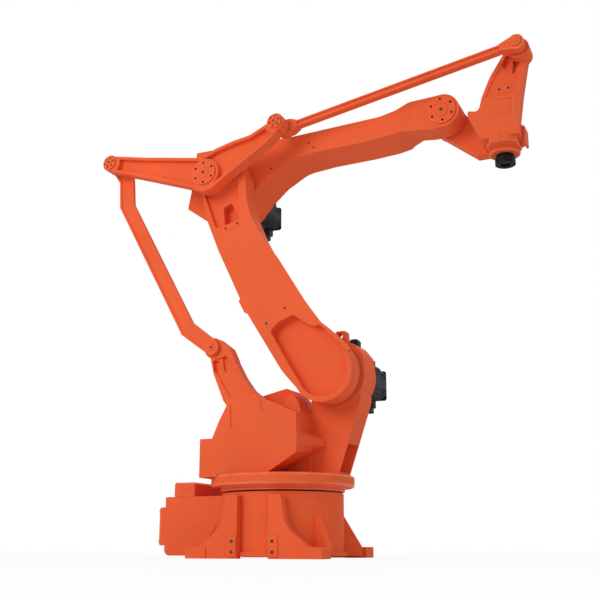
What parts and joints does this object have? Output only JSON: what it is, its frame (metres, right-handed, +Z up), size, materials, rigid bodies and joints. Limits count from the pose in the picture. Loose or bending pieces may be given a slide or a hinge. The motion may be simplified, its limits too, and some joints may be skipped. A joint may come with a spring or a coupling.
{
  "type": "palletising industrial robot arm",
  "caption": "Floor-standing four-axis industrial robot arm with a swinging carousel, parallelogram links that keep the wrist level, and a turning tool flange.",
  "frame": {"origin": "on the floor under the swing axis, at the centre of the foot bolt pattern", "axes": "+X towards the front of the robot in the stored pose, +Y to its left, +Z up along the swing axis"},
  "size_m": [1.8732, 0.677, 1.9538],
  "materials": {
    "orange_paint": "satin",
    "motor_black": "satin",
    "flange_black": "satin",
    "bare_steel": "brushed"
  },
  "bodies": {
    "base": {"base_casting": "orange_paint", "base_rear_housing": "orange_paint", "base_top_box": "orange_paint", "base_connector_plate": "orange_paint", "slewing_bearing": "bare_steel"},
    "carousel": {"turntable": "orange_paint", "shoulder_tower": "orange_paint", "drive_housing": "orange_paint", "swing_motor_cover": "orange_paint", "link_bracket": "orange_paint", "bracket_pin": "bare_steel", "shoulder_reducer": "bare_steel", "shoulder_motor_adapter": "orange_paint", "shoulder_motor": "motor_black", "shoulder_motor_cap": "motor_black", "shoulder_motor_plug": "motor_black"},
    "lower_arm": {"lower_arm": "orange_paint", "elbow_pin": "bare_steel", "elbow_reducer": "bare_steel"},
    "link_plate": {"link_plate": "orange_paint", "elbow_cap": "orange_paint", "rear_pin": "bare_steel", "rear_pin_cap": "orange_paint", "top_pin": "bare_steel", "top_pin_cap": "orange_paint"},
    "rear_rod": {"rear_rod": "orange_paint"},
    "top_rod": {"top_rod": "orange_paint", "top_rod_rear_eye": "orange_paint", "top_rod_front_eye": "orange_paint", "top_rod_cap": "orange_paint"},
    "forearm": {"forearm": "orange_paint", "forearm_end_cap": "orange_paint", "elbow_motor_adapter": "orange_paint", "elbow_motor": "motor_black", "elbow_motor_cap": "motor_black", "elbow_motor_plug": "motor_black"},
    "wrist": {"wrist_casting": "orange_paint", "wrist_pin": "bare_steel", "wrist_top_pin": "bare_steel", "wrist_motor": "motor_black", "flange_neck": "orange_paint"},
    "tool_flange": {"tool_flange": "flange_black"}
  },
  "joints": [
    {"name": "swing", "type": "hinge", "parent": "base", "child": "carousel", "pos_m": [0, 0, 0], "axis": [0, 0, 1], "range_deg": [-170, 170]},
    {"name": "lower_arm_lean", "type": "hinge", "parent": "carousel", "child": "lower_arm", "pos_m": [0.25, 0, 0.7], "axis": [0, 1, 0], "range_deg": [-10, 75]},
    {"name": "link_plate_level", "type": "hinge", "parent": "lower_arm", "child": "link_plate", "pos_m": [-0.25, 0, 1.56603], "axis": [0, 1, 0], "range_deg": [-76, 11]},
    {"name": "rear_rod_swing", "type": "hinge", "parent": "carousel", "child": "rear_rod", "pos_m": [-0.23341, 0, 0.82772], "axis": [0, 1, 0], "range_deg": [-11, 76]},
    {"name": "forearm_lift", "type": "hinge", "parent": "link_plate", "child": "forearm", "pos_m": [-0.25, 0, 1.56603], "axis": [0, 1, 0], "range_deg": [-6, 44]},
    {"name": "top_rod_swing", "type": "hinge", "parent": "link_plate", "child": "top_rod", "pos_m": [0.07699, 0, 1.73916], "axis": [0, 1, 0], "range_deg": [-7, 45]},
    {"name": "wrist_level", "type": "hinge", "parent": "forearm", "child": "wrist", "pos_m": [0.73481, 0, 1.73967], "axis": [0, 1, 0], "range_deg": [-45, 7]},
    {"name": "flange_turn", "type": "hinge", "parent": "wrist", "child": "tool_flange", "pos_m": [0.95981, 0, 1.49767], "axis": [0, 0, 1], "range_deg": [-350, 350]}
  ],
  "couplings": [
    {"joint": "link_plate_level", "follows": "lower_arm_lean", "ratio": -1},
    {"joint": "rear_rod_swing", "follows": "lower_arm_lean", "ratio": 1},
    {"joint": "top_rod_swing", "follows": "forearm_lift", "ratio": 1},
    {"joint": "wrist_level", "follows": "forearm_lift", "ratio": -1}
  ]
}
